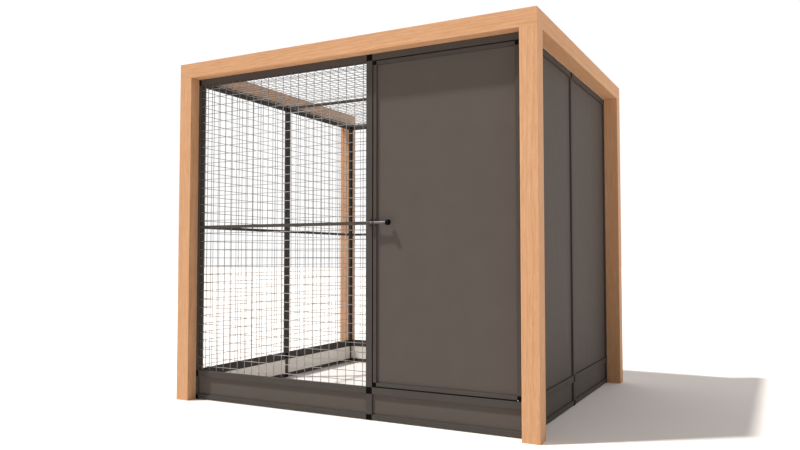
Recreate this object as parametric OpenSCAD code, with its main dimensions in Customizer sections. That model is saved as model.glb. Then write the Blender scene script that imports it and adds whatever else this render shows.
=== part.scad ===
// Walk-in animal pen: a timber portal around a square-tube frame with wire mesh bays,
// solid panels, a kick board all round and a hinged door with a slide bolt.
// The origin is the centre of the footprint at ground level, +Z is up,
// the door is in the front wall (-Y) on the right (+X).

/* [Overall size] */
// Width over the timber posts, along X
width = 2560; // [1900:10:3600]
// Depth over the timber posts, along Y
depth = 2160; // [1500:10:3200]
// Height from the ground to the top of the beams
height = 2312; // [1900:2:2800]

/* [Timber] */
// Side of the square posts, and the width of the beams
post_size = 100; // [70:1:140]
// Height of the beams
beam_height = 100; // [70:1:140]
// Diameter of the dowels that join posts and beams
dowel_d = 20; // [12:1:30]
// Depth of each dowel in each of the two timbers
dowel_depth = 60; // [30:1:65]

/* [Tube frame] */
// Wide side of the frame tubes
tube_w = 40; // [30:1:60]
// Narrow side of the frame tubes, which is the thickness of each wall
tube_d = 20; // [18:1:30]
// Wall thickness of every tube
tube_wall = 2; // [1:0.25:3]
// Height of the floor rails
floor_tube_h = 30; // [20:1:45]
// Side of the slim square tubes of the mid rails and the roof
slim_tube = 20; // [16:1:28]
// How far the corner uprights reach past the back edge of the posts
post_overlap = 22; // [18:1:34]
// Thickness of the feet under the floor connectors
foot_height = 5; // [3:1:12]
// Height of the kick rails' top above the ground
kick_top = 196; // [140:1:320]
// Height of the mid rails' centre above the ground
mid_rail_z = 1180; // [800:5:1500]
// Clear width of the doorway
doorway_w = 938; // [700:1:1150]
// Length of the connectors' plugs inside the tubes
plug_length = 30; // [20:1:45]
// Gap between a plug and the tube around it, on each side
plug_clearance = 0.2; // [0.1:0.05:0.4]

/* [Wire mesh] */
// Diameter of the wires
wire_d = 4; // [3:0.5:6]
// Pitch of the upright wires, and of the roof wires along X
mesh_pitch_w = 61; // [50:1:90]
// Pitch of the level wires
mesh_pitch_h = 57; // [50:1:90]

/* [Panels] */
// Depth of the panels behind the outer face of the tubes
panel_recess = 12; // [8:0.5:12]
// Thickness of the panels and kick boards
panel_t = 3; // [2:0.5:4]
// Gap between a panel's edge and the tube beside it
panel_gap = 0.5; // [0.2:0.1:1]
// Width of the retaining beads behind the panels and the mesh
bead_w = 10; // [8:1:20]

/* [Door] */
// Gap around the door
door_gap = 8; // [6:0.5:12]
// Width of the door's tubes, seen from the front
door_tube = 22; // [18:1:30]
// Diameter of the pivot pins
pivot_d = 10; // [8:0.5:11]
// Radial running clearance of the pivot pins
pivot_clearance = 0.05; // [0.02:0.01:0.1]
// Wall of the pivot bushes
bush_wall = 1.5; // [1:0.25:1.5]
// Depth of the pivot bushes in the frame
bush_depth = 18; // [12:1:24]
// Gap between a bush's flange and the door
thrust_gap = 0.3; // [0.2:0.1:1]
// Thickness of the door stops
stop_t = 6; // [4:1:10]
// How far the door stops reach behind the door
stop_overlap = 10; // [6:1:20]

/* [Latch] */
// Height of the bolt's axis above the ground
latch_z = 1181; // [900:1:1400]
// Diameter of the bolt's rod
rod_d = 16; // [10:1:20]
// Length of the rod that shows
rod_length = 130; // [110:1:180]
// Distance from the door's face to the rod's axis
rod_offset = 20; // [18:1:30]
// Radial running clearance of the rod in its guide
rod_clearance = 0.05; // [0.02:0.01:0.1]
// Radial clearance of the rod in the keeper
keeper_clearance = 0.6; // [0.4:0.1:1.5]
// How far the rod reaches through the keeper
rod_reach = 5; // [2:1:8]
// Diameter of the knob
knob_d = 33; // [24:1:35]
// Length of the knob
knob_length = 24; // [18:1:40]
// Width of the guide and of the keeper
guide_w = 14; // [10:1:18]
// Thickness of the guide's and the keeper's metal
guide_t = 2.5; // [2:0.5:4]

/* [Fasteners] */
// Diameter of the bolts that hold the frame to the posts
bolt_d = 8; // [6:1:10]
// Depth of the bolts in the timber
bolt_depth = 50; // [30:1:70]
// Bolts in each corner upright
bolt_rows = 3; // [2:1:5]
// Distance from the first and last bolt to the ends of the upright
bolt_inset = 200; // [100:10:400]
// Diameter of the latch screws
screw_d = 5; // [4:0.5:6]

/* [Hidden] */

wood_colour = [0.89, 0.67, 0.50];
tube_colour = [0.31, 0.29, 0.27];
panel_colour = [0.41, 0.38, 0.35];
lining_colour = [0.80, 0.77, 0.73];
wire_colour = [0.72, 0.73, 0.74];
steel_colour = [0.75, 0.75, 0.78];
black_colour = [0.06, 0.06, 0.06];
round_fn = 48;
cut = 1; // how far a cutting shape runs past the face that it cuts
press_fit = 0.05; // radial clearance of the pressed-in pieces

// The tube frame's outer faces, and the inner faces of its walls
x_out = width / 2 - post_size;
x_in = x_out - tube_d;
frame_recess = post_size - post_overlap;
y_out = depth / 2 - frame_recess;
y_in = y_out - tube_d;
y_corner = y_out - tube_w;
frame_h = height - beam_height;

// Levels of the rails
top_z = frame_h - tube_w;
kick_z = kick_top - tube_w;
floor_z = foot_height;
floor_top = floor_z + floor_tube_h;
mid_z = mid_rail_z - slim_tube / 2;
roof_z = frame_h - tube_w / 2 - slim_tube / 2;

// The uprights beside the doorway and at the middle of the side walls
mid_x1 = x_in - doorway_w;
mid_x0 = mid_x1 - tube_w;
half_w = tube_w / 2;
half_slim = slim_tube / 2;

// The door, which closes flush with the front of the frame
door_x0 = mid_x1 + door_gap;
door_x1 = x_in - door_gap;
door_z0 = kick_top + door_gap;
door_z1 = top_z - door_gap;
pivot_x = door_x1 - door_tube / 2;
pivot_y = -y_out + tube_d / 2;
bush_r = pivot_d / 2 + bush_wall;
flange_width = 3;
flange_r = bush_r + flange_width;
pin_end_gap = 2;
bush_seat = 8; // plug material beyond the bush
pivot_plug = door_gap + door_tube / 2 + bush_r + bush_seat; // length of a plug that holds a bush
hinge_sweep = norm([door_tube / 2, tube_d / 2]); // how far the door's corner turns round the pivot
stop_x1 = pivot_x - hinge_sweep - door_gap / 2;

// The bolt, which locks into the keeper on the front mid upright
bracket_inset = 3;
keeper_x = mid_x1 - guide_w / 2 - bracket_inset;
guide_x = door_x0 + door_tube / 2;
rod_x = keeper_x - guide_w / 2 - rod_reach;
rod_y = -y_out - rod_offset;
spigot_d = 0.6 * rod_d;
knob_end = 8; // solid end of the knob past the rod
spigot_length = knob_length - knob_end;
knob_edge = 2;
screw_edge = 6; // from a screw's axis to the end of its plate
screw_z = rod_d / 2 + guide_t + 1.4 * screw_d; // from the rod's axis to a screw's axis
plate_half = screw_z + screw_edge; // half height of a bracket's plate
screw_head_d = 1.8 * screw_d;
screw_head_h = 0.5 * screw_d;
screw_end = 3;
screw_length = guide_t + tube_wall + screw_end;

// The beads fill the wall's thickness behind the panels, and so do the linings
bead_t = tube_d - panel_recess - panel_t;
lining_top = kick_z - bead_w;

// The bolts pass through the stretch where the upright lies against the post
bolt_y = y_out - post_overlap / 2;
bolt_head_r = 0.75 * bolt_d;
bolt_head_h = 0.65 * bolt_d;
access_gap = 2;
access_r = bolt_head_r + access_gap;
bolt_step = (top_z - kick_top - 2 * bolt_inset) / (bolt_rows - 1);
bolt_levels = [for (i = [0 : bolt_rows - 1]) kick_top + bolt_inset + i * bolt_step];

// Dowels: one upright at each corner, two level ones where a side beam meets the front beam
post_mid_x = width / 2 - post_size / 2;
post_mid_y = depth / 2 - post_size / 2;
level_dowel_d = 0.6 * dowel_d;
level_dowel_shift = 0.2 * post_size; // from the beam's middle to a level dowel's axis, both ways

// Mesh bays lie below and above the mid rail, in the middle of the walls
mesh_bands = [[kick_top, mid_z], [mid_z + slim_tube, top_z]];
wall_mid = tube_d / 2;

// From a wall's inner face to a panel's outer face
panel_out = tube_d - panel_recess;

// Each tube is given as [corner nearest to the origin of its axes, size, axis of its bore]
corner_tube = [[x_in, y_corner, kick_top], [tube_d, tube_w, top_z - kick_top], 2];
corner_stub = [[x_in, y_corner, floor_top], [tube_d, tube_w, kick_z - floor_top], 2];
end_mid_tube = [[mid_x0, y_in, kick_top], [tube_w, tube_d, top_z - kick_top], 2];
end_mid_stub = [[mid_x0, y_in, floor_top], [tube_w, tube_d, kick_z - floor_top], 2];
side_mid_tube = [[x_in, -half_w, kick_top], [tube_d, tube_w, top_z - kick_top], 2];
side_mid_stub = [[x_in, -half_w, floor_top], [tube_d, tube_w, kick_z - floor_top], 2];
roof_long_tube = [[mid_x0, half_w, roof_z], [tube_w, y_in - half_w, slim_tube], 1];
roof_left_tube = [[-x_in, -half_slim, roof_z], [mid_x0 + x_in, slim_tube, slim_tube], 0];
roof_right_tube = [[mid_x1, -half_slim, roof_z], [x_in - mid_x1, slim_tube, slim_tube], 0];
latch_stile_tube = [[door_x0, -y_out, door_z0 + door_tube],
                    [door_tube, tube_d, door_z1 - door_z0 - 2 * door_tube], 2];
hinge_stile_tube = [[door_x1 - door_tube, -y_out, door_z0 + door_tube],
                    latch_stile_tube[1], 2];
bottom_rail_tube = [[door_x0 + door_tube, -y_out, door_z0],
                    [door_x1 - door_x0 - 2 * door_tube, tube_d, door_tube], 0];
top_rail_tube = [[door_x0 + door_tube, -y_out, door_z1 - door_tube],
                 bottom_rail_tube[1], 0];
function left_rail(z, h) = [[-x_in, y_in, z], [mid_x0 + x_in, tube_d, h], 0];
function right_rail(z, h) = [[mid_x1, y_in, z], [x_in - mid_x1, tube_d, h], 0];
function side_rail(z, h) = [[x_in, half_w, z], [tube_d, y_corner - half_w, h], 1];

// The same tube on the other side of the X or Y middle plane
function flip_x(t) = [[-t[0][0] - t[1][0], t[0][1], t[0][2]], t[1], t[2]];
function flip_y(t) = [[t[0][0], -t[0][1] - t[1][1], t[0][2]], t[1], t[2]];

module both_x() {
    children();
    mirror([1, 0, 0]) children();
}

module both_y() {
    children();
    mirror([0, 1, 0]) children();
}

// Moves what is drawn in the +X +Y quarter to another quarter
module to_corner(side_x, side_y) {
    mirror([side_x < 0 ? 1 : 0, 0, 0])
        mirror([0, side_y < 0 ? 1 : 0, 0])
            children();
}

// ---- general pieces ----

module tube(t) {
    bore = [for (i = [0 : 2]) i == t[2] ? t[1][i] + 2 * cut : t[1][i] - 2 * tube_wall];
    bore_at = [for (i = [0 : 2]) i == t[2] ? -cut : tube_wall];
    color(tube_colour)
        translate(t[0])
            difference() {
                cube(t[1]);
                translate(bore_at) cube(bore);
            }
}

// A plug inside the low (-1) or high (1) end of a tube
module plug(t, end, length) {
    inset = tube_wall + plug_clearance;
    size = [for (i = [0 : 2]) i == t[2] ? length : t[1][i] - 2 * inset];
    low = [for (i = [0 : 2]) t[0][i] + (i == t[2] ? 0 : inset)];
    high = [for (i = [0 : 2]) i == t[2] ? t[0][i] + t[1][i] - length : low[i]];
    translate(end < 0 ? low : high) cube(size);
}

// A block with plugs; ends lists [tube, end, length of the plug where it isn't the usual one]
module connector(at, size, ends) {
    color(black_colour) {
        translate(at) cube(size);
        for (e = ends)
            plug(e[0], e[1], is_undef(e[2]) ? plug_length : e[2]);
    }
}

// A row of parallel wires along Y, which fills a width with its wires centred
module wire_row(width, length, pitch) {
    wires = floor(width / pitch);
    first = (width - (wires - 1) * pitch) / 2;
    for (i = [0 : wires - 1])
        translate([first + i * pitch - wire_d / 2, 0, 0])
            cube([wire_d, length, wire_d]);
}

// A sheet of wires in the XY plane that fills w by h: one layer along Y and, welded on
// top of it, one layer along X
module mesh_sheet(w, h) {
    color(wire_colour) {
        translate([0, 0, -wire_d]) wire_row(w, h, mesh_pitch_w);
        mirror([1, -1, 0]) wire_row(h, w, mesh_pitch_h);
    }
}

// Mesh in a wall along X at y, in a wall along Y at x, and level at z
module mesh_along_x(x0, x1, y, z0, z1) {
    translate([x0, y, z0])
        rotate([90, 0, 0])
            mesh_sheet(x1 - x0, z1 - z0);
}

module mesh_along_y(x, y0, y1, z0, z1) {
    translate([x, y0, z0])
        rotate([90, 0, 90])
            mesh_sheet(y1 - y0, z1 - z0);
}

module mesh_level(x0, x1, y0, y1, z) {
    translate([x0, y0, z])
        mesh_sheet(x1 - x0, y1 - y0);
}

// A board between two corners, short of the tubes by the gap on two axes
module board(low, high, thin_axis, gap, colour) {
    inset = [for (i = [0 : 2]) i == thin_axis ? 0 : gap];
    color(colour)
        translate(low + inset)
            cube(high - low - 2 * inset);
}

// A rectangular ring of bead between two corners
module bead_ring(low, high, thin_axis) {
    inset = [for (i = [0 : 2]) i == thin_axis ? -cut : bead_w];
    color(tube_colour)
        difference() {
            translate(low) cube(high - low);
            translate(low + inset) cube(high - low - 2 * inset);
        }
}

// ---- timber ----

// Holes for the dowel in the top of a post and for the bolts in its side
module post_cuts() {
    translate([post_mid_x, post_mid_y, frame_h - dowel_depth])
        cylinder(d = dowel_d + 2 * press_fit, h = dowel_depth + cut, $fn = round_fn);
    for (z = bolt_levels)
        translate([x_out - cut, bolt_y, z])
            rotate([0, 90, 0])
                cylinder(d = bolt_d + 2 * press_fit, h = bolt_depth + cut, $fn = round_fn);
}

module post(side_x, side_y) {
    color(wood_colour)
        to_corner(side_x, side_y)
            difference() {
                translate([width / 2 - post_size, depth / 2 - post_size, 0])
                    cube([post_size, post_size, frame_h]);
                post_cuts();
            }
}

// All the dowels, each wider and longer by the fit on both sides
module dowel_set(fit) {
    both_x() {
        both_y()
            translate([post_mid_x, post_mid_y, frame_h - dowel_depth - fit])
                cylinder(d = dowel_d + 2 * fit, h = 2 * (dowel_depth + fit), $fn = round_fn);
        for (side = [-1, 1])
            translate([
                post_mid_x + side * level_dowel_shift,
                post_size - depth / 2 - dowel_depth / 2 - fit,
                frame_h + beam_height / 2 + side * level_dowel_shift
            ])
                rotate([-90, 0, 0])
                    cylinder(d = level_dowel_d + 2 * fit, h = dowel_depth + 2 * fit, $fn = round_fn);
    }
}

module front_beam() {
    color(wood_colour)
        difference() {
            translate([-width / 2, -depth / 2, frame_h])
                cube([width, post_size, beam_height]);
            dowel_set(press_fit);
        }
}

module side_beam(side_x) {
    color(wood_colour)
        difference() {
            to_corner(side_x, 1)
                translate([width / 2 - post_size, -depth / 2 + post_size, frame_h])
                    cube([post_size, depth - post_size, beam_height]);
            dowel_set(press_fit);
        }
}

module beam_dowels() {
    color(wood_colour) dowel_set(0);
}

// ---- tube frame ----

// Shank holes in the wall at the post, and access holes in the wall towards the pen
module upright_cuts() {
    for (z = bolt_levels)
        translate([0, bolt_y, z])
            rotate([0, 90, 0]) {
                translate([0, 0, x_out - tube_wall - cut])
                    cylinder(d = bolt_d + 2 * press_fit, h = tube_wall + 2 * cut, $fn = round_fn);
                translate([0, 0, x_in - cut])
                    cylinder(r = access_r, h = tube_wall + 2 * cut, $fn = round_fn);
            }
}

module corner_upright(side_x, side_y) {
    color(tube_colour)
        to_corner(side_x, side_y)
            difference() {
                tube(corner_tube);
                upright_cuts();
            }
}

module front_mid_upright() {
    color(tube_colour)
        difference() {
            tube(flip_y(end_mid_tube));
            bracket_screw_holes(keeper_x);
        }
}

module kick_uprights() {
    both_x()
        both_y()
            tube(corner_stub);
    both_y()
        tube(end_mid_stub);
    both_x()
        tube(side_mid_stub);
}

// Seats of the pivot bushes in the kick rail and the top rail, and in their plugs
module bush_cuts() {
    translate([pivot_x, pivot_y, kick_top - bush_depth])
        cylinder(r = bush_r + press_fit, h = bush_depth + cut, $fn = round_fn);
    translate([pivot_x, pivot_y, top_z - cut])
        cylinder(r = bush_r + press_fit, h = bush_depth + cut, $fn = round_fn);
}

module front_rails(z) {
    color(tube_colour) {
        tube(flip_y(left_rail(z, tube_w)));
        difference() {
            tube(flip_y(right_rail(z, tube_w)));
            bush_cuts();
        }
    }
}

module back_rails(z, h) {
    tube(left_rail(z, h));
    tube(right_rail(z, h));
}

module side_rails(z, h) {
    both_x()
        both_y()
            tube(side_rail(z, h));
}

module floor_rails() {
    both_y()
        back_rails(floor_z, floor_tube_h);
    side_rails(floor_z, floor_tube_h);
}

// Slim rails that split the mesh bays of the front, left and back walls
module mid_rails() {
    both_y()
        tube([[-x_in, y_in + (tube_d - slim_tube) / 2, mid_z],
              [mid_x0 + x_in, slim_tube, slim_tube], 0]);
    both_y()
        tube([[-x_in - (tube_d + slim_tube) / 2, half_w, mid_z],
              [slim_tube, y_corner - half_w, slim_tube], 1]);
}

module roof_rails() {
    both_y() tube(roof_long_tube);
    tube(roof_left_tube);
    tube(roof_right_tube);
}

// ---- connectors ----

// The four corners of one level; uprights lists [tube, end] of the uprights that meet it
module corner_connectors(z, h, uprights) {
    size = [tube_d, tube_w, h];
    right_ends = concat(uprights, [[side_rail(z, h), 1], [right_rail(z, h), 1, pivot_plug]]);
    left_ends = concat([for (u = uprights) [flip_x(u[0]), u[1]]],
                       [[flip_x(side_rail(z, h)), 1], [left_rail(z, h), -1]]);
    difference() {
        both_y() {
            connector([x_in, y_corner, z], size, right_ends);
            connector([-x_out, y_corner, z], size, left_ends);
        }
        bush_cuts();
    }
}

// The connectors at the mid uprights of one level; roof adds the plugs for the roof tubes
module mid_connectors(z, h, end_uprights, side_uprights, roof = false) {
    end_ends = concat(end_uprights, [[left_rail(z, h), 1], [right_rail(z, h), -1]],
                      roof ? [[roof_long_tube, 1]] : []);
    side_ends = concat(side_uprights, [[side_rail(z, h), -1], [flip_y(side_rail(z, h)), 1]]);
    left_ends = [for (e = side_ends) [flip_x(e[0]), e[1]]];
    both_y()
        connector([mid_x0, y_in, z], [tube_w, tube_d, h], end_ends);
    connector([x_in, -half_w, z], [tube_d, tube_w, h],
              concat(side_ends, roof ? [[roof_right_tube, 1]] : []));
    connector([-x_out, -half_w, z], [tube_d, tube_w, h],
              concat(left_ends, roof ? [[roof_left_tube, -1]] : []));
}

module top_corner_connectors() {
    corner_connectors(top_z, tube_w, [[corner_tube, 1]]);
}

module top_mid_connectors() {
    mid_connectors(top_z, tube_w, [[end_mid_tube, 1]], [[side_mid_tube, 1]], true);
}

module roof_centre_connector() {
    connector([mid_x0, -half_w, roof_z], [tube_w, tube_w, slim_tube],
              [[roof_long_tube, -1], [flip_y(roof_long_tube), 1],
               [roof_left_tube, 1], [roof_right_tube, -1]]);
}

module kick_connectors() {
    corner_connectors(kick_z, tube_w, [[corner_tube, -1], [corner_stub, 1]]);
    mid_connectors(kick_z, tube_w, [[end_mid_tube, -1], [end_mid_stub, 1]],
                   [[side_mid_tube, -1], [side_mid_stub, 1]]);
}

module floor_connectors() {
    corner_connectors(floor_z, floor_tube_h, [[corner_stub, -1]]);
    mid_connectors(floor_z, floor_tube_h, [[end_mid_stub, -1]], [[side_mid_stub, -1]]);
}

module frame_feet() {
    color(black_colour) {
        both_x() {
            both_y()
                translate([x_in, y_corner, 0]) cube([tube_d, tube_w, foot_height]);
            translate([x_in, -half_w, 0]) cube([tube_d, tube_w, foot_height]);
        }
        both_y()
            translate([mid_x0, y_in, 0]) cube([tube_w, tube_d, foot_height]);
    }
}

// ---- mesh ----

module front_mesh() {
    for (band = mesh_bands)
        mesh_along_x(-x_in, mid_x0, -y_in - wall_mid, band[0], band[1]);
}

module back_mesh() {
    for (band = mesh_bands)
        mesh_along_x(-x_in, mid_x0, y_in + wall_mid, band[0], band[1]);
}

module left_mesh() {
    both_y()
        for (band = mesh_bands)
            mesh_along_y(-x_in - wall_mid, half_w, y_corner, band[0], band[1]);
}

module roof_mesh() {
    both_y()
        mesh_level(-x_in, mid_x0, half_slim, y_in, roof_z + half_slim);
}

// ---- panels ----

module right_wall_panels() {
    both_y()
        board([x_in + bead_t, half_w, kick_top], [x_in + panel_out, y_corner, top_z],
              0, panel_gap, panel_colour);
}

module back_wall_panel() {
    board([mid_x1, y_in + bead_t, kick_top], [x_in, y_in + panel_out, top_z],
          1, panel_gap, panel_colour);
}

module roof_panels() {
    roof_face = frame_h - panel_recess;
    both_y()
        board([mid_x1, half_slim, roof_face - panel_t], [x_in, y_in, roof_face],
              2, panel_gap, panel_colour);
}

// Beads behind the panels of the right wall, the back wall and the roof
module panel_bead_set() {
    roof_back = frame_h - panel_recess - panel_t;
    both_y()
        bead_ring([x_in, half_w, kick_top], [x_in + bead_t, y_corner, top_z], 0);
    bead_ring([mid_x1, y_in, kick_top], [x_in, y_in + bead_t, top_z], 1);
    both_y()
        bead_ring([mid_x1, half_slim, roof_back - bead_t], [x_in, y_in, roof_back], 2);
}

// Beads on the pen side of one mesh bay, from a to b along X on the wall whose inner face is
// at y = face; a bay with a foot has one along its lower edge too
module mesh_bay_beads(a, b, face, foot) {
    bead = wall_mid - wire_d;
    for (band = mesh_bands)
        for (x = [a, b - bead_w])
            translate([x, face, band[0]]) cube([bead_w, bead, band[1] - band[0]]);
    for (z = foot ? [kick_top, top_z - bead_w] : [top_z - bead_w])
        translate([a + bead_w, face, z]) cube([b - a - 2 * bead_w, bead, bead_w]);
}

module mesh_bead_set() {
    color(tube_colour) {
        mesh_bay_beads(-x_in, mid_x0, y_in, true);
        mirror([0, 1, 0]) mesh_bay_beads(-x_in, mid_x0, y_in, false);
        both_y()
            mirror([1, 0, 0])
                mirror([1, -1, 0])
                    mesh_bay_beads(half_w, y_corner, x_in, true);
    }
}

// The beads of the panels and the mesh, and those along the upper edges of the linings
module retaining_beads() {
    panel_bead_set();
    mesh_bead_set();
    both_y() end_kick_layer(0, bead_t, lining_top, kick_z, tube_colour);
    side_kick_layer(0, bead_t, lining_top, kick_z, tube_colour);
}

// Boards of one layer of the kick board, from near to far measured from the wall's inner face
module end_kick_layer(near, far, low, high, colour) {
    for (x = [[-x_in, mid_x0], [mid_x1, x_in]])
        board([x[0], y_in + near, low], [x[1], y_in + far, high], 1, panel_gap, colour);
}

module side_kick_layer(near, far, low, high, colour) {
    both_x()
        both_y()
            board([x_in + near, half_w, low], [x_in + far, y_corner, high],
                  0, panel_gap, colour);
}

module end_kick_boards() {
    end_kick_layer(bead_t, panel_out, floor_top, kick_z, panel_colour);
}

module kick_linings() {
    both_y() end_kick_layer(0, bead_t, floor_top, lining_top, lining_colour);
    side_kick_layer(0, bead_t, floor_top, lining_top, lining_colour);
}

// ---- fasteners ----

module post_bolts() {
    color(steel_colour)
        both_x()
            both_y()
                for (z = bolt_levels)
                    translate([x_out - tube_wall, bolt_y, z])
                        rotate([0, 90, 0]) {
                            cylinder(d = bolt_d, h = tube_wall + bolt_depth, $fn = round_fn);
                            translate([0, 0, -bolt_head_h])
                                cylinder(r = bolt_head_r, h = bolt_head_h, $fn = 6);
                        }
}

module bolt_hole_caps() {
    color(tube_colour)
        both_x()
            both_y()
                for (z = bolt_levels)
                    translate([x_in, bolt_y, z])
                        rotate([0, 90, 0])
                            cylinder(r = access_r - press_fit, h = tube_wall, $fn = round_fn);
}

// ---- door ----

module door_latch_stile() {
    color(tube_colour)
        difference() {
            tube(latch_stile_tube);
            bracket_screw_holes(guide_x);
        }
}

module door_rails() {
    tube(bottom_rail_tube);
    tube(top_rail_tube);
}

// Corner blocks of the door; the two on the hinge side hold the pivot pins
module door_connectors() {
    block = [door_tube, tube_d, door_tube];
    difference() {
        union() {
            connector([door_x0, -y_out, door_z0], block,
                      [[latch_stile_tube, -1], [bottom_rail_tube, -1]]);
            connector([door_x0, -y_out, door_z1 - door_tube], block,
                      [[latch_stile_tube, 1], [top_rail_tube, -1]]);
            connector([door_x1 - door_tube, -y_out, door_z0], block,
                      [[hinge_stile_tube, -1], [bottom_rail_tube, 1]]);
            connector([door_x1 - door_tube, -y_out, door_z1 - door_tube], block,
                      [[hinge_stile_tube, 1], [top_rail_tube, 1]]);
        }
        for (z = [door_z0 - cut, door_z1 - door_tube])
            translate([pivot_x, pivot_y, z])
                cylinder(d = pivot_d + 2 * press_fit, h = door_tube + cut, $fn = round_fn);
    }
}

module door_panel() {
    board([door_x0 + door_tube, -y_in - panel_out, door_z0 + door_tube],
          [door_x1 - door_tube, -y_in - bead_t, door_z1 - door_tube],
          1, panel_gap, panel_colour);
}

module door_beads() {
    bead_ring([door_x0 + door_tube, -y_in - bead_t, door_z0 + door_tube],
              [door_x1 - door_tube, -y_in, door_z1 - door_tube], 1);
}

module pivot_pins() {
    pin_length = door_tube + door_gap + bush_depth - pin_end_gap;
    color(steel_colour) {
        translate([pivot_x, pivot_y, door_z0 + door_tube - pin_length])
            cylinder(d = pivot_d, h = pin_length, $fn = round_fn);
        translate([pivot_x, pivot_y, door_z1 - door_tube])
            cylinder(d = pivot_d, h = pin_length, $fn = round_fn);
    }
}

// A flanged bush drawn with its flange up, from the rail's face at z = 0
module flanged_bush() {
    bore_r = pivot_d / 2 + pivot_clearance;
    difference() {
        union() {
            translate([0, 0, -bush_depth])
                cylinder(r = bush_r, h = bush_depth, $fn = round_fn);
            cylinder(r = flange_r, h = door_gap - thrust_gap, $fn = round_fn);
        }
        translate([0, 0, -bush_depth - cut])
            cylinder(r = bore_r, h = bush_depth + door_gap + 2 * cut, $fn = round_fn);
    }
}

module pivot_bushes() {
    color(black_colour) {
        translate([pivot_x, pivot_y, kick_top]) flanged_bush();
        translate([pivot_x, pivot_y, top_z]) mirror([0, 0, 1]) flanged_bush();
    }
}

// Stops behind the door's edges on the latch side, at the top and at the bottom, between the
// kick rail and the roof rails; the level ones start a panel gap away from the upright one
// and end short of the corner that turns inwards round the pivot
module door_stops() {
    stop_x0 = door_x0 + stop_overlap;
    stop_z0 = kick_z + half_w;
    level_x0 = stop_x0 + panel_gap;
    color(tube_colour) {
        translate([mid_x1 - half_w, -y_in, stop_z0])
            cube([stop_x0 - mid_x1 + half_w, stop_t, roof_z - stop_z0]);
        for (band = [[stop_z0, door_z0 + stop_overlap], [door_z1 - stop_overlap, roof_z]])
            translate([level_x0, -y_in, band[0]])
                cube([stop_x1 - level_x0, stop_t, band[1] - band[0]]);
    }
}

// ---- latch ----

module bracket_screw_holes(x) {
    for (side = [-1, 1])
        translate([x, -y_out - cut - guide_t, latch_z + side * screw_z])
            rotate([-90, 0, 0])
                cylinder(d = screw_d + 2 * press_fit, h = guide_t + tube_wall + 2 * cut, $fn = round_fn);
}

// A plate with a loop around the rod
module bracket(x, clearance) {
    loop_r = rod_d / 2 + guide_t;
    color(tube_colour)
        difference() {
            translate([x - guide_w / 2, 0, 0]) {
                translate([0, -y_out - guide_t, latch_z - plate_half])
                    cube([guide_w, guide_t, 2 * plate_half]);
                translate([0, rod_y, latch_z - loop_r])
                    cube([guide_w, rod_offset, 2 * loop_r]);
                translate([0, rod_y, latch_z])
                    rotate([0, 90, 0])
                        cylinder(r = loop_r, h = guide_w, $fn = round_fn);
            }
            translate([x - guide_w / 2 - cut, rod_y, latch_z])
                rotate([0, 90, 0])
                    cylinder(r = rod_d / 2 + clearance, h = guide_w + 2 * cut, $fn = round_fn);
            bracket_screw_holes(x);
        }
}

module bolt_rod() {
    color(steel_colour)
        translate([rod_x, rod_y, latch_z])
            rotate([0, 90, 0]) {
                cylinder(d = rod_d, h = rod_length, $fn = round_fn);
                translate([0, 0, rod_length])
                    cylinder(d = spigot_d, h = spigot_length, $fn = round_fn);
            }
}

// A turned knob with a small bevel at both ends
module bolt_knob() {
    hole_r = spigot_d / 2 + press_fit;
    color(black_colour)
        translate([rod_x + rod_length, rod_y, latch_z])
            rotate([0, 90, 0])
                rotate_extrude($fn = round_fn)
                    polygon([
                        [hole_r, 0],
                        [knob_d / 2 - knob_edge, 0],
                        [knob_d / 2, knob_edge],
                        [knob_d / 2, knob_length - knob_edge],
                        [knob_d / 2 - knob_edge, knob_length],
                        [0, knob_length],
                        [0, spigot_length + press_fit],
                        [hole_r, spigot_length + press_fit]
                    ]);
}

// Pan-head screws through the plate of a bracket
module bracket_screws(x) {
    color(tube_colour)
        for (side = [-1, 1])
            translate([x, -y_out - guide_t - screw_head_h, latch_z + side * screw_z])
                rotate([-90, 0, 0]) {
                    cylinder(d = screw_head_d, h = screw_head_h, $fn = round_fn);
                    cylinder(d = screw_d, h = screw_head_h + screw_length, $fn = round_fn);
                }
}

post(-1, -1);  // front_left_post
post(1, -1);  // front_right_post
post(-1, 1);  // back_left_post
post(1, 1);  // back_right_post
front_beam();
side_beam(-1);  // left_beam
side_beam(1);  // right_beam
beam_dowels();
corner_upright(-1, -1);  // front_left_upright
corner_upright(1, -1);  // front_right_upright
corner_upright(-1, 1);  // back_left_upright
corner_upright(1, 1);  // back_right_upright
front_mid_upright();
tube(end_mid_tube);  // back_mid_upright
both_x() tube(side_mid_tube);  // side_mid_uprights
kick_uprights();
front_rails(top_z);  // front_top_rails
back_rails(top_z, tube_w);  // back_top_rails
side_rails(top_z, tube_w);  // side_top_rails
front_rails(kick_z);  // front_kick_rails
back_rails(kick_z, tube_w);  // back_kick_rails
side_rails(kick_z, tube_w);  // side_kick_rails
floor_rails();
mid_rails();
roof_rails();
top_corner_connectors();
top_mid_connectors();
roof_centre_connector();
kick_connectors();
floor_connectors();
frame_feet();
front_mesh();
left_mesh();
back_mesh();
roof_mesh();
right_wall_panels();
back_wall_panel();
roof_panels();
retaining_beads();
mirror([0, 1, 0]) end_kick_boards();  // front_kick_boards
end_kick_boards();  // back_kick_boards
side_kick_layer(bead_t, panel_out, floor_top, kick_z, panel_colour);  // side_kick_boards
kick_linings();
post_bolts();
bolt_hole_caps();
door_latch_stile();
tube(hinge_stile_tube);  // door_hinge_stile
door_rails();
door_connectors();
door_panel();
door_beads();
pivot_pins();
pivot_bushes();
door_stops();
bolt_rod();
bolt_knob();
bracket(guide_x, rod_clearance);  // bolt_guide
bracket(keeper_x, keeper_clearance);  // bolt_keeper
bracket_screws(guide_x);  // guide_screws
bracket_screws(keeper_x);  // keeper_screws
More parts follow.
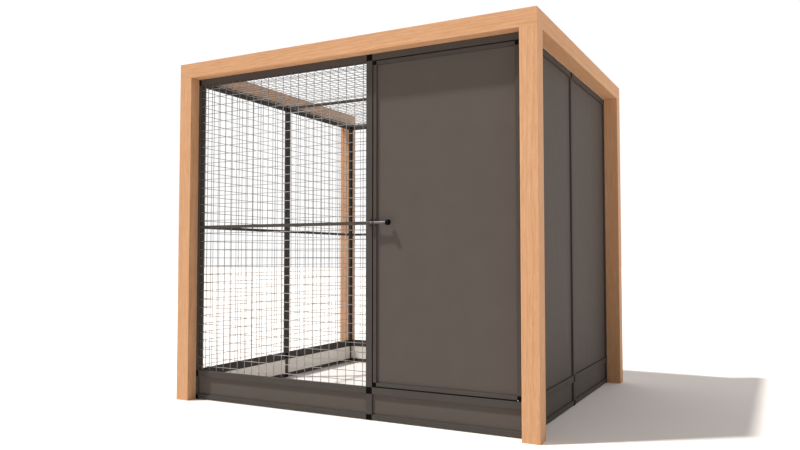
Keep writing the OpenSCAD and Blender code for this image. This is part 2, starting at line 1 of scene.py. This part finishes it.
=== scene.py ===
"""Looks of the walk-in animal pen: materials, round wires, softened edges, light and camera."""
import math

import bmesh
import bpy
from mathutils import Euler, Matrix, Vector


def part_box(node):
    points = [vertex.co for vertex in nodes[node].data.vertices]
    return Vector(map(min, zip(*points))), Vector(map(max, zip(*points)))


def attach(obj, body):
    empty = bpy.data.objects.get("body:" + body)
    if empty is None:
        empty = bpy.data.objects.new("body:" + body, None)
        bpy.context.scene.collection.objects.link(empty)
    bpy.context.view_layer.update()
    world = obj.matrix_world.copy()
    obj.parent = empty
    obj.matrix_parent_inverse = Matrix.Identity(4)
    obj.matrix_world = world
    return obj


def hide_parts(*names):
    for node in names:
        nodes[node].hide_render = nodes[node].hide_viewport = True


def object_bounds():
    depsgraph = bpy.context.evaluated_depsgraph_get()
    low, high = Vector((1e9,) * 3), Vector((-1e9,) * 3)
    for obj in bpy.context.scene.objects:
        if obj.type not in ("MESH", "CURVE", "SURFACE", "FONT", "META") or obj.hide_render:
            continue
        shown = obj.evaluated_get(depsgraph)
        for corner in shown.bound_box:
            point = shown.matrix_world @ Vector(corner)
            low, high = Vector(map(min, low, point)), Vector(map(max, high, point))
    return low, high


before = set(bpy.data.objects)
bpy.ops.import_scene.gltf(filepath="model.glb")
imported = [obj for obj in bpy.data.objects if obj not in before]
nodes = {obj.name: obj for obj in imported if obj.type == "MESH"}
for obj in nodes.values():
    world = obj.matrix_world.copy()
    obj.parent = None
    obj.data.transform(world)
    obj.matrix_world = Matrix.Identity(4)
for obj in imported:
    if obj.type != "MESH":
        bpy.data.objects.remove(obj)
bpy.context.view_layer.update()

# Lengths are in metres.
X, Y, Z = range(3)


# ---- material helpers ----

# The Mix node's colour sockets share their names with its other sockets, so they are found by index.
MIX_AMOUNT, MIX_A, MIX_B, MIX_COLOUR = 0, 6, 7, 2


class Net:
    """A material's node tree with a principled shader at its end."""

    def __init__(self, name, metallic=0.0, specular=0.5):
        self.material = bpy.data.materials.new(name)
        self.material.use_nodes = True
        self.tree = self.material.node_tree
        self.shader = self.tree.nodes["Principled BSDF"]
        self.shader.inputs["Metallic"].default_value = metallic
        self.shader.inputs["Specular IOR Level"].default_value = specular
        self.position = self.add("ShaderNodeTexCoord").outputs["Object"]

    def feed(self, socket, value):
        """Links another node's output into a socket, or sets the socket to a constant."""
        if isinstance(value, bpy.types.NodeSocket):
            self.tree.links.new(value, socket)
        else:
            socket.default_value = value

    def add(self, kind, settings=None, **inputs):
        node = self.tree.nodes.new(kind)
        for key, value in (settings or {}).items():
            setattr(node, key, value)
        for key, value in inputs.items():
            self.feed(node.inputs[key], value)
        return node

    def into(self, source, name):
        self.tree.links.new(source, self.shader.inputs[name])

    def place(self, location=(0, 0, 0), rotation=(0, 0, 0), scale=(1, 1, 1), source=None):
        node = self.add("ShaderNodeMapping", Vector=source or self.position,
                        Location=location, Rotation=rotation, Scale=scale)
        return node.outputs["Vector"]

    def noise(self, scale, detail=2.0, roughness=0.5, source=None):
        node = self.add("ShaderNodeTexNoise", Vector=source or self.position, Scale=scale,
                        Detail=detail, Roughness=roughness)
        return node.outputs["Fac"]

    def stretched(self, scale, detail, roughness=0.5, source=None):
        """Noise with its own scale along each axis."""
        return self.noise(1.0, detail, roughness, source=self.place(scale=scale, source=source))

    def span(self, value, low, high, from_low=0.0, from_high=1.0):
        limits = {"From Min": from_low, "From Max": from_high, "To Min": low, "To Max": high}
        return self.add("ShaderNodeMapRange", Value=value, **limits).outputs["Result"]

    def maths(self, operation, a, b):
        node = self.add("ShaderNodeMath", {"operation": operation})
        for socket, value in zip(node.inputs, (a, b)):
            self.feed(socket, value)
        return node.outputs[0]

    def ramp(self, value, stops):
        node = self.add("ShaderNodeValToRGB", Fac=value)
        elements = node.color_ramp.elements
        while len(elements) < len(stops):
            elements.new(0.5)
        for element, (place, colour) in zip(elements, stops):
            element.position = place
            element.color = (*colour, 1)
        return node.outputs["Color"]

    def mix(self, amount, a, b, blend="MIX"):
        node = self.add("ShaderNodeMix", {"data_type": "RGBA", "blend_type": blend})
        for index, value in ((MIX_AMOUNT, amount), (MIX_A, a), (MIX_B, b)):
            self.feed(node.inputs[index], (*value, 1) if isinstance(value, tuple) else value)
        return node.outputs[MIX_COLOUR]

    def bump(self, height, distance, strength=1.0, after=None):
        node = self.add("ShaderNodeBump", Height=height, Distance=distance, Strength=strength)
        if after:
            self.tree.links.new(after, node.inputs["Normal"])
        return node.outputs["Normal"]


def shade(colour, factor):
    return tuple(factor * c for c in colour)


# ---- materials ----

# Turns that lay a piece's long axis along Z
TO_Z = {"x": (0, math.radians(90), 0), "y": (math.radians(90), 0, 0), "z": (0, 0, 0)}


def timber(name, axis, offset):
    """Planed softwood: growth rings round the log's Z axis, fibres and pores along the piece's axis."""
    net = Net(name, specular=0.15)
    in_log = net.place(location=offset, source=net.place(rotation=TO_Z[axis]))
    drift = net.stretched((3, 3, 0.5), 2.0, source=in_log)
    sway = (0.05, 0.05, 0)
    bending = net.add("ShaderNodeVectorMath", {"operation": "MULTIPLY_ADD"})
    for socket, value in zip(bending.inputs, (drift, sway, in_log)):
        net.feed(socket, value)
    bent = bending.outputs[0]
    ring_settings = {"wave_type": "RINGS", "rings_direction": "Z", "wave_profile": "SAW"}
    rings = net.add("ShaderNodeTexWave", ring_settings, Vector=bent, Scale=24.0, Distortion=1.6,
                    Detail=2.0, **{"Detail Scale": 1.6}).outputs["Fac"]
    streaks = net.stretched((120, 120, 9), 4.0, 0.6, source=bent)
    fibres = net.stretched((620, 620, 16), 3.0, 0.6, source=bent)
    pores = net.span(net.stretched((900, 900, 55), 1.0, source=in_log), 0, 1, 0.66, 0.74)
    patches = net.stretched((5, 5, 0.9), 2.0, source=in_log)

    colour = net.ramp(rings, [
        (0.0, (0.640, 0.368, 0.206)),
        (0.72, (0.618, 0.344, 0.188)),
        (0.93, (0.580, 0.306, 0.160)),
        (1.0, (0.630, 0.360, 0.200))])
    for grain, stops in (
            (streaks, [(0.3, (0.91, 0.88, 0.83)), (0.7, (1.07, 1.09, 1.11))]),
            (fibres, [(0.25, (0.92, 0.90, 0.87)), (0.75, (1.05, 1.06, 1.07))]),
            (patches, [(0.3, (0.96, 0.94, 0.92)), (0.7, (1.03, 1.04, 1.05))])):
        colour = net.mix(1.0, colour, net.ramp(grain, stops), "MULTIPLY")
    pore_tone = (0.30, 0.14, 0.07)
    net.into(net.mix(net.maths("MULTIPLY", pores, 0.45), colour, pore_tone), "Base Color")
    net.into(net.span(fibres, 0.50, 0.68), "Roughness")
    relief = net.bump(rings, 0.0003, 0.35)
    relief = net.bump(fibres, 0.00025, 0.5, relief)
    relief = net.bump(net.maths("SUBTRACT", 1.0, pores), 0.0003, 0.5, relief)
    net.into(relief, "Normal")
    return net.material


def powder_coat(name, colour, rough, grain=1400.0, spread=0.04):
    """Baked powder paint on steel: fine orange peel, a little mottling, handling marks in the gloss."""
    net = Net(name, specular=0.05)
    mottle = net.noise(7.0, 3.0, 0.6)
    fleck = net.noise(grain, 1.0)
    tone = net.ramp(mottle, [(0.3, shade(colour, 1 - spread)), (0.7, shade(colour, 1 + spread))])
    flecks = net.ramp(fleck, [(0.35, (0.90, 0.90, 0.90)), (0.65, (1.08, 1.08, 1.08))])
    net.into(net.mix(1.0, tone, flecks, "MULTIPLY"), "Base Color")
    wiped = net.stretched((22, 22, 4), 3.0, 0.6)
    net.into(net.span(wiped, rough - 0.06, rough + 0.08), "Roughness")
    relief = net.bump(net.noise(260.0, 2.0), 0.00012, 0.35)
    net.into(net.bump(fleck, 0.00005, 0.45, relief), "Normal")
    return net.material


def moulded_plastic(name, colour, rough, grain=900.0):
    """Injection-moulded plastic: a fine spark-eroded texture and a slight cloudiness."""
    net = Net(name, specular=0.03)
    cloud = net.noise(30.0, 3.0)
    net.into(net.ramp(cloud, [(0.3, shade(colour, 0.86)), (0.7, shade(colour, 1.14))]), "Base Color")
    net.into(net.span(cloud, rough - 0.05, rough + 0.07), "Roughness")
    net.into(net.bump(net.noise(grain, 2.0, 0.7), 0.00006, 0.6), "Normal")
    return net.material


def lining_sheet(name):
    """Pale hard plastic board: a light calendered grain with faint scuffs."""
    net = Net(name)
    cloud = net.noise(9.0, 3.0, 0.55)
    tone = net.ramp(cloud, [(0.3, (0.85, 0.81, 0.755)), (0.7, (0.90, 0.86, 0.80))])
    scuff = net.stretched((14, 14, 160), 3.0, 0.65)
    marks = net.ramp(scuff, [(0.32, (0.86, 0.85, 0.83)), (0.5, (1.0, 1.0, 1.0))])
    net.into(net.mix(0.45, tone, marks, "MULTIPLY"), "Base Color")
    net.into(net.span(scuff, 0.42, 0.62), "Roughness")
    net.into(net.bump(net.noise(500.0, 2.0), 0.00008, 0.4), "Normal")
    return net.material


def galvanised_wire(name):
    """Hot-dip galvanised wire: matt zinc with a spangle and slightly darker patches."""
    net = Net(name, metallic=0.2)
    cells = net.add("ShaderNodeTexVoronoi", Vector=net.position, Scale=420.0)
    spangle = net.ramp(cells.outputs["Color"], [(0.2, (0.27, 0.27, 0.265)), (0.8, (0.40, 0.395, 0.39))])
    patch = net.ramp(net.noise(16.0, 3.0), [(0.35, (0.84, 0.84, 0.85)), (0.65, (1.05, 1.05, 1.04))])
    net.into(net.mix(1.0, spangle, patch, "MULTIPLY"), "Base Color")
    net.into(net.span(net.noise(240.0, 2.0), 0.40, 0.62), "Roughness")
    net.into(net.bump(net.noise(1200.0, 2.0), 0.00008, 0.5), "Normal")
    return net.material


def bright_metal(name, colour, rough, brush_axis="x"):
    """Bare or zinc-plated steel with drawing lines along one axis."""
    net = Net(name, metallic=1.0)
    scale = tuple(40 if axis == brush_axis else 1600 for axis in "xyz")
    lines = net.stretched(scale, 3.0, 0.6)
    net.into(net.ramp(lines, [(0.3, shade(colour, 0.88)), (0.7, shade(colour, 1.05))]), "Base Color")
    net.into(net.span(lines, rough - 0.06, rough + 0.10), "Roughness")
    net.into(net.bump(lines, 0.00002, 0.5), "Normal")
    return net.material


MATERIALS = {
    "tube": powder_coat("tube_coat", (0.074, 0.065, 0.059), rough=0.5),
    "panel": powder_coat("panel_coat", (0.103, 0.0875, 0.078), rough=0.56, grain=1100.0, spread=0.03),
    "connector": moulded_plastic("connector_black", (0.0035, 0.0033, 0.0032), rough=0.55),
    "knob": moulded_plastic("knob_black", (0.004, 0.004, 0.0045), rough=0.5),
    "bush": moulded_plastic("bush_black", (0.018, 0.018, 0.018), rough=0.5, grain=700.0),
    "lining": lining_sheet("lining_board"),
    "wire": galvanised_wire("galvanised_wire"),
    "rod": bright_metal("rod_steel", (0.20, 0.185, 0.205), rough=0.62),
    "plated": bright_metal("plated_steel", (0.52, 0.51, 0.50), rough=0.36, brush_axis="z"),
}


# ---- carried-over CAD nodes ----

WELD_DISTANCE = 0.00001
SHARP_ANGLE = math.radians(35)


def soften(obj, edge, segments):
    """Rounds a CAD node's sharp edges and evens its shading."""
    weld = obj.modifiers.new("weld", "WELD")
    weld.merge_threshold = WELD_DISTANCE
    bevel = obj.modifiers.new("edges", "BEVEL")
    bevel.width = edge
    bevel.segments = segments
    bevel.limit_method = "ANGLE"
    bevel.angle_limit = SHARP_ANGLE
    bevel.harden_normals = False
    normals = obj.modifiers.new("normals", "WEIGHTED_NORMAL")
    normals.keep_sharp = True


def dress(names, material, edge, segments=2):
    """Gives CAD nodes a material and rounded edges."""
    for name in names:
        nodes[name].data.materials.clear()
        nodes[name].data.materials.append(material)
        soften(nodes[name], edge, segments)


# Each timber's long axis, and where its middle lay in the log, whose pith is the Z axis
TIMBERS = {
    "front_left_post": ("z", (0.16, 0.05, 0.3)),
    "front_right_post": ("z", (-0.10, -0.14, 1.7)),
    "back_left_post": ("z", (0.05, -0.17, 3.1)),
    "back_right_post": ("z", (-0.15, 0.07, 4.4)),
    "front_beam": ("x", (0.11, 0.15, 0.9)),
    "left_beam": ("y", (-0.12, 0.14, 2.2)),
    "right_beam": ("y", (0.13, -0.11, 5.6)),
}
for name, (axis, place_in_log) in TIMBERS.items():
    low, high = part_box(name)
    middle = (low + high) / 2
    offset = Vector(place_in_log) - Euler(TO_Z[axis]).to_matrix() @ middle
    dress([name], timber("timber_" + name, axis, tuple(offset)), edge=0.002, segments=3)
dress(["beam_dowels"], timber("timber_dowels", "z", (0.2, 0.1, 0)), edge=0.001)

dress(["front_left_upright", "front_right_upright", "back_left_upright", "back_right_upright",
       "front_mid_upright", "back_mid_upright", "side_mid_uprights", "kick_uprights",
       "front_top_rails", "back_top_rails", "side_top_rails", "front_kick_rails",
       "back_kick_rails", "side_kick_rails", "floor_rails", "mid_rails", "roof_rails",
       "door_latch_stile", "door_hinge_stile", "door_rails"], MATERIALS["tube"], edge=0.0009)
dress(["retaining_beads", "door_beads", "door_stops", "bolt_hole_caps"], MATERIALS["tube"], edge=0.0005)
dress(["right_wall_panels", "back_wall_panel", "roof_panels", "front_kick_boards",
       "back_kick_boards", "side_kick_boards", "door_panel"], MATERIALS["panel"], edge=0.0004)
dress(["kick_linings"], MATERIALS["lining"], edge=0.0008)
dress(["top_corner_connectors", "top_mid_connectors", "roof_centre_connector",
       "kick_connectors", "floor_connectors", "door_connectors"], MATERIALS["connector"], edge=0.0007)
dress(["frame_feet", "pivot_bushes"], MATERIALS["bush"], edge=0.0006)
dress(["post_bolts", "pivot_pins"], MATERIALS["plated"], edge=0.0004)
dress(["bolt_guide", "bolt_keeper"], MATERIALS["tube"], edge=0.0004)
dress(["bolt_rod"], MATERIALS["rod"], edge=0.0012, segments=3)


# ---- helpers for the pieces built here ----

def islands(node):
    """Boxes of a CAD node's separate solids, in a fixed order."""
    mesh = nodes[node].data
    spots = {}
    spot_of = [spots.setdefault(tuple(round(c, 5) for c in v.co), len(spots)) for v in mesh.vertices]
    parent = list(range(len(spots)))

    def root(i):
        while parent[i] != i:
            parent[i] = parent[parent[i]]
            i = parent[i]
        return i

    for edge in mesh.edges:
        a, b = (root(spot_of[i]) for i in edge.vertices)
        parent[a] = b
    groups = {}
    for place, index in spots.items():
        groups.setdefault(root(index), []).append(place)
    boxes = [(Vector(map(min, zip(*g))), Vector(map(max, zip(*g)))) for g in groups.values()]
    return sorted(boxes, key=lambda b: tuple(b[0]))


def mesh_object(name, bm, material, smooth=True):
    """An object made of the bmesh, which is used up."""
    bmesh.ops.recalc_face_normals(bm, faces=bm.faces)
    mesh = bpy.data.meshes.new(name)
    bm.to_mesh(mesh)
    bm.free()
    mesh.materials.append(material)
    if smooth:
        mesh.shade_smooth()
    obj = bpy.data.objects.new(name, mesh)
    bpy.context.scene.collection.objects.link(obj)
    return obj


def ring(bm, place, turn, height, segments, radius_at):
    """Vertices round the turned Z axis at a height above place; radius_at(angle) gives each radius."""
    vertices = []
    for i in range(segments):
        angle = math.tau * i / segments
        radius = radius_at(angle)
        spot = Vector((radius * math.cos(angle), radius * math.sin(angle), height))
        vertices.append(bm.verts.new(place + turn @ spot))
    return vertices


def skin(bm, rings):
    """Faces between neighbouring rings and one at each end."""
    for a, b in zip(rings, rings[1:]):
        for i in range(len(a)):
            j = (i + 1) % len(a)
            bm.faces.new((a[i], a[j], b[j], b[i]))
    bm.faces.new(list(reversed(rings[0])))
    bm.faces.new(rings[-1])


def rod(bm, start, end, radius, segments=8):
    """A closed round bar between two points."""
    turn = (end - start).to_track_quat("Z", "Y").to_matrix()
    skin(bm, [ring(bm, place, turn, 0, segments, lambda angle: radius) for place in (start, end)])


def turned(bm, profile, place, turn, segments, cut):
    """A solid turned from (radius, height) points; cut(radius, height, angle) is taken off each radius."""
    skin(bm, [ring(bm, place, turn, height, segments, lambda angle: radius - cut(radius, height, angle))
              for radius, height in profile])


# ---- wire mesh ----

WIRE_R = 0.002
WIRE_PRESS = 0.0004     # how far crossing wires are pressed into each other
PITCH_W = 0.061         # between the wires that run along a sheet
PITCH_H = 0.057         # between the wires that run across it


def wire_grid(bm, low, high, across, along, out):
    """Round wires of one sheet: the ones along `along` on the `out` side of the ones along `across`."""
    thin = ({X, Y, Z} - {across, along}).pop()
    middle = (low[thin] + high[thin]) / 2
    for line, step, pitch, side in ((along, across, PITCH_W, out), (across, along, PITCH_H, -out)):
        width = high[step] - low[step]
        count = int(width / pitch + 1e-6)
        first = low[step] + (width - (count - 1) * pitch) / 2
        for i in range(count):
            start = Vector((0, 0, 0))
            start[thin] = middle + side * (WIRE_R - WIRE_PRESS / 2)
            start[step] = first + i * pitch
            end = start.copy()
            start[line] = low[line]
            end[line] = high[line]
            rod(bm, start, end, WIRE_R)


for node, across, along, out in (("front_mesh", X, Z, 1), ("back_mesh", X, Z, 1),
                                 ("left_mesh", Y, Z, -1), ("roof_mesh", X, Y, -1)):
    bm = bmesh.new()
    for low, high in islands(node):
        wire_grid(bm, low, high, across, along, out)
    wires = mesh_object(node + "_wires", bm, MATERIALS["wire"])
    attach(wires, "frame")
    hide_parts(node)


# ---- bolt knob ----

KNOB_RIM = 0.0045       # length of the rounded rim at each end
KNOB_DISH = 0.0008      # depth of the dished cap
GRIP_STEPS = 12         # rings along the grip, so that the flutes can fade
FLUTES = 12
FLUTE_DEPTH = 0.0011
FLUTED_FROM, FLUTED_TO = 0.2, 0.8


def knob_profile(length, r):
    """Radius and height of the knob: rim, grip, rim and a dished cap."""
    profile = [(0.45 * r, 0.0), (0.80 * r, 0.0), (0.92 * r, 0.0007), (0.99 * r, 0.0025), (r, KNOB_RIM)]
    profile += [(r, KNOB_RIM + (length - 2 * KNOB_RIM) * i / GRIP_STEPS) for i in range(1, GRIP_STEPS)]
    profile += [(r, length - KNOB_RIM), (0.99 * r, length - 0.0025), (0.92 * r, length - 0.0009),
                (0.80 * r, length), (0.62 * r, length), (0.58 * r, length - KNOB_DISH),
                (0.10 * r, length - KNOB_DISH)]
    return profile


low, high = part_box("bolt_knob")
knob_length = high.x - low.x
knob_r = (high.y - low.y) / 2
grip_r = 0.97 * knob_r


def knob_flutes(radius, height, angle):
    """Shallow grooves along the middle of the grip."""
    if radius < grip_r or not FLUTED_FROM < height / knob_length < FLUTED_TO:
        return 0
    return FLUTE_DEPTH * max(0.0, math.cos(FLUTES * angle)) ** 2


bm = bmesh.new()
knob_end = Vector((low.x, (low.y + high.y) / 2, (low.z + high.z) / 2))
turned(bm, knob_profile(knob_length, knob_r), knob_end, Matrix.Rotation(math.radians(90), 3, "Y"),
       96, knob_flutes)
knob = mesh_object("bolt_knob_turned", bm, MATERIALS["knob"])
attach(knob, "bolt")
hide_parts("bolt_knob")


# ---- screws ----

# Outline of a pan head, in shares of its radius and height
PAN_HEAD = ((0.70, 0.0), (0.88, 0.10), (0.97, 0.32), (1.0, 0.62), (1.0, 1.0))


def screw(bm, low, high):
    """A pan-head screw along +Y with a hexagon socket."""
    head_r = (high.x - low.x) / 2
    head_h = 0.55 * head_r
    shank_r = head_r / 1.8
    socket_r = 0.44 * head_r
    socket_depth = 0.75 * head_h

    def flats(radius, height, angle):
        """How far the socket's flats lie inside the circle through its corners."""
        if radius != socket_r:
            return 0
        from_flat = angle % math.radians(60) - math.radians(30)
        return socket_r - socket_r * math.cos(math.radians(30)) / math.cos(from_flat)

    profile = [(socket_r, socket_depth), (socket_r, 0.0)]
    profile += [(radius * head_r, height * head_h) for radius, height in PAN_HEAD]
    profile += [(shank_r, head_h), (shank_r, high.y - low.y)]
    head = Vector(((low.x + high.x) / 2, low.y, (low.z + high.z) / 2))
    turned(bm, profile, head, Matrix.Rotation(math.radians(-90), 3, "X"), 48, flats)


for node, body in (("guide_screws", "door"), ("keeper_screws", "frame")):
    bm = bmesh.new()
    for low, high in islands(node):
        screw(bm, low, high)
    piece = mesh_object(node + "_socket", bm, MATERIALS["tube"], smooth=False)
    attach(piece, body)
    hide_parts(node)


# ---- floor and backdrop ----

FLOOR_REACH = 60
BACKDROP_R = 59

bm = bmesh.new()
bmesh.ops.create_grid(bm, x_segments=8, y_segments=8, size=FLOOR_REACH)
floor_net = Net("floor_paper", specular=0.1)
cloud = floor_net.noise(3.0, 3.0)
paper_tones = [(0.3, (0.885, 0.825, 0.785)), (0.7, (0.895, 0.835, 0.795))]
floor_net.into(floor_net.ramp(cloud, paper_tones), "Base Color")
floor_net.into(floor_net.span(cloud, 0.85, 0.95), "Roughness")
floor = mesh_object("floor", bm, floor_net.material, smooth=False)
floor.location.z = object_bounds()[0][2]

# The backdrop is seen by the camera only, so it sheds no light on the object
bm = bmesh.new()
bmesh.ops.create_uvsphere(bm, u_segments=48, v_segments=24, radius=BACKDROP_R)
backdrop_net = Net("backdrop_paper")
backdrop_net.shader.inputs["Base Color"].default_value = (0, 0, 0, 1)
backdrop_net.shader.inputs["Emission Color"].default_value = (1, 1, 1, 1)
backdrop_net.shader.inputs["Emission Strength"].default_value = 1.0
backdrop = mesh_object("backdrop", bm, backdrop_net.material)
for ray in ("diffuse", "glossy", "transmission", "volume_scatter", "shadow"):
    setattr(backdrop, "visible_" + ray, False)


# ---- light ----

SKY = 0.58                          # mean strength of the soft studio sky
SKY_LEAN = (-0.08, 0.55, 0.12)      # it grows brighter towards this direction
SUN_STRENGTH = 3.75
SUN_WIDTH = math.radians(2.8)
SUN_COLOUR = (1.0, 0.985, 0.965)
SUN_FALL = (0.99, 0.714, -2.312)    # from a point at the object's full height to its shadow on the ground

world = bpy.data.worlds.new("studio")
bpy.context.scene.world = world
world.use_nodes = True
background = world.node_tree.nodes["Background"]
background.inputs["Color"].default_value = (1, 1, 1, 1)
direction = world.node_tree.nodes.new("ShaderNodeTexCoord").outputs["Generated"]
lean = world.node_tree.nodes.new("ShaderNodeVectorMath")
lean.operation = "DOT_PRODUCT"
lean.inputs[1].default_value = SKY_LEAN
level = world.node_tree.nodes.new("ShaderNodeMath")
level.operation = "MULTIPLY_ADD"
level.inputs[1].default_value = SKY
level.inputs[2].default_value = SKY
world.node_tree.links.new(direction, lean.inputs[0])
world.node_tree.links.new(lean.outputs["Value"], level.inputs[0])
world.node_tree.links.new(level.outputs[0], background.inputs["Strength"])

sun = bpy.data.lights.new("key", "SUN")
sun.energy = SUN_STRENGTH
sun.angle = SUN_WIDTH
sun.color = SUN_COLOUR
sun_object = bpy.data.objects.new("key", sun)
sun_object.rotation_euler = Vector(SUN_FALL).to_track_quat("-Z", "Y").to_euler()
bpy.context.scene.collection.objects.link(sun_object)

bpy.context.scene.view_settings.view_transform = "Standard"


# ---- camera ----

# Fitted to corners of the timber frame as the photograph shows them
CAMERA_PLACE = (2.4205, -4.766, 0.980)
CAMERA_TILT = math.radians(92.466)
CAMERA_TURN = math.radians(28.066)
LENS_MM, SENSOR_MM = 32.5, 36
CAMERA_REACH = 200

camera_data = bpy.data.cameras.new("camera")
camera_data.lens = LENS_MM
camera_data.sensor_width = SENSOR_MM
camera_data.clip_end = CAMERA_REACH
camera = bpy.data.objects.new("camera", camera_data)
camera.location = CAMERA_PLACE
camera.rotation_euler = (CAMERA_TILT, 0, CAMERA_TURN)
bpy.context.scene.collection.objects.link(camera)
bpy.context.scene.camera = camera
